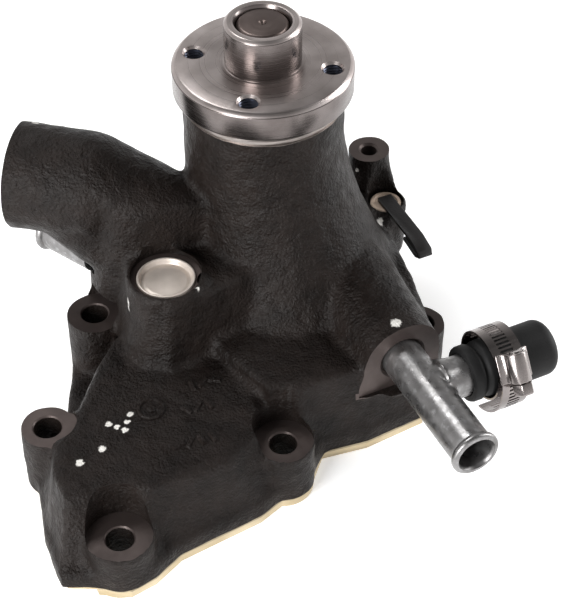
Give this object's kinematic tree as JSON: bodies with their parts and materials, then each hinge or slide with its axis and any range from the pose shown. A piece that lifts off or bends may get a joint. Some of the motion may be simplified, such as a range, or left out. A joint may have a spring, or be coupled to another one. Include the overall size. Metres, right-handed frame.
{
  "type": "engine coolant pump",
  "caption": "Engine coolant pump: dark cast body with hose elbow, snout bearing, bolt-on drive hub, heater tee with capped branch, and rear cover plate.",
  "frame": {"origin": "on the shaft axis at the rear face of the cover plate", "axes": "+Z along the shaft towards the hub nose; the heater tee points along -Y and its capped branch along +X"},
  "size_m": [0.195, 0.1806, 0.1467],
  "materials": {
    "cast_body": "rough sand-cast, dark charcoal paint",
    "gasket_paper": "fibre gasket paper",
    "plate_passivated": "yellow zinc passivated steel",
    "screw_steel": "zinc plated",
    "plug_steel": "pressed steel, satin",
    "tube_zinc": "mottled zinc plating",
    "cap_rubber": "matte moulded rubber",
    "clamp_stainless": "stainless, satin",
    "bearing_steel": "ground",
    "cage_plastic": "moulded nylon",
    "seal_rubber": "moulded rubber",
    "shaft_steel": "ground steel",
    "hub_steel": "turned steel",
    "impeller_iron": "as cast",
    "seat_ceramic": "lapped ceramic",
    "carbon": "lapped carbon",
    "shell_brass": "pressed brass",
    "plug_ring": "pale moulded plug",
    "strap_plastic": "black moulded plastic"
  },
  "bodies": {
    "housing": {"pump_housing": "cast_body", "cover_gasket": "gasket_paper", "rear_cover_plate": "plate_passivated", "cover_screws": "screw_steel", "core_plug": "plug_steel", "tee_tube": "tube_zinc", "branch_cap": "cap_rubber", "clamp_band": "clamp_stainless", "clamp_housing": "clamp_stainless", "bypass_tube": "tube_zinc", "bearing_outer_race": "bearing_steel", "bearing_seal_front": "seal_rubber", "bearing_seal_rear": "seal_rubber", "seal_shell": "shell_brass", "seal_bellows": "seal_rubber", "seal_spring": "bearing_steel"},
    "rotor": {"pump_shaft": "shaft_steel", "hub_flange": "hub_steel", "impeller": "impeller_iron", "slinger": "shaft_steel", "seal_seat": "seat_ceramic", "seat_boot": "seal_rubber"},
    "ball_row": {"bearing_balls": "bearing_steel", "ball_cage": "cage_plastic"},
    "roller_row": {"bearing_rollers": "bearing_steel", "roller_cage": "cage_plastic"},
    "seal_ring": {"seal_carbon_ring": "carbon"},
    "clamp_worm": {"clamp_screw": "clamp_stainless"},
    "pull_plug": {"port_plug": "plug_ring", "plug_pull_strap": "strap_plastic"}
  },
  "joints": [
    {"name": "rotor_spin", "type": "hinge", "parent": "housing", "child": "rotor", "pos_m": [0, 0, 0], "axis": [0, 0, 1], "continuous": true},
    {"name": "ball_row_orbit", "type": "hinge", "parent": "housing", "child": "ball_row", "pos_m": [0, 0, 0.093], "axis": [0, 0, 1], "continuous": true},
    {"name": "roller_row_orbit", "type": "hinge", "parent": "housing", "child": "roller_row", "pos_m": [0, 0, 0.065], "axis": [0, 0, 1], "continuous": true},
    {"name": "seal_ring_travel", "type": "slide", "parent": "housing", "child": "seal_ring", "axis": [0, 0, 1], "range_m": [0, 0.0008], "stiffness_N_per_m": 1000, "springref_m": -0.008, "deforming": ["seal_spring", "seal_bellows"]},
    {"name": "clamp_screw_turn", "type": "hinge", "parent": "housing", "child": "clamp_worm", "pos_m": [0.0485, -0.10835, 0.05107], "axis": [0, 0.5736, 0.8192], "continuous": true},
    {"name": "port_plug_pull", "type": "slide", "parent": "housing", "child": "pull_plug", "axis": [0, 0, 1], "range_m": [0, 0.008]}
  ],
  "couplings": [
    {"joint": "ball_row_orbit", "follows": "rotor_spin", "ratio": 0.375},
    {"joint": "roller_row_orbit", "follows": "rotor_spin", "ratio": 0.375}
  ]
}
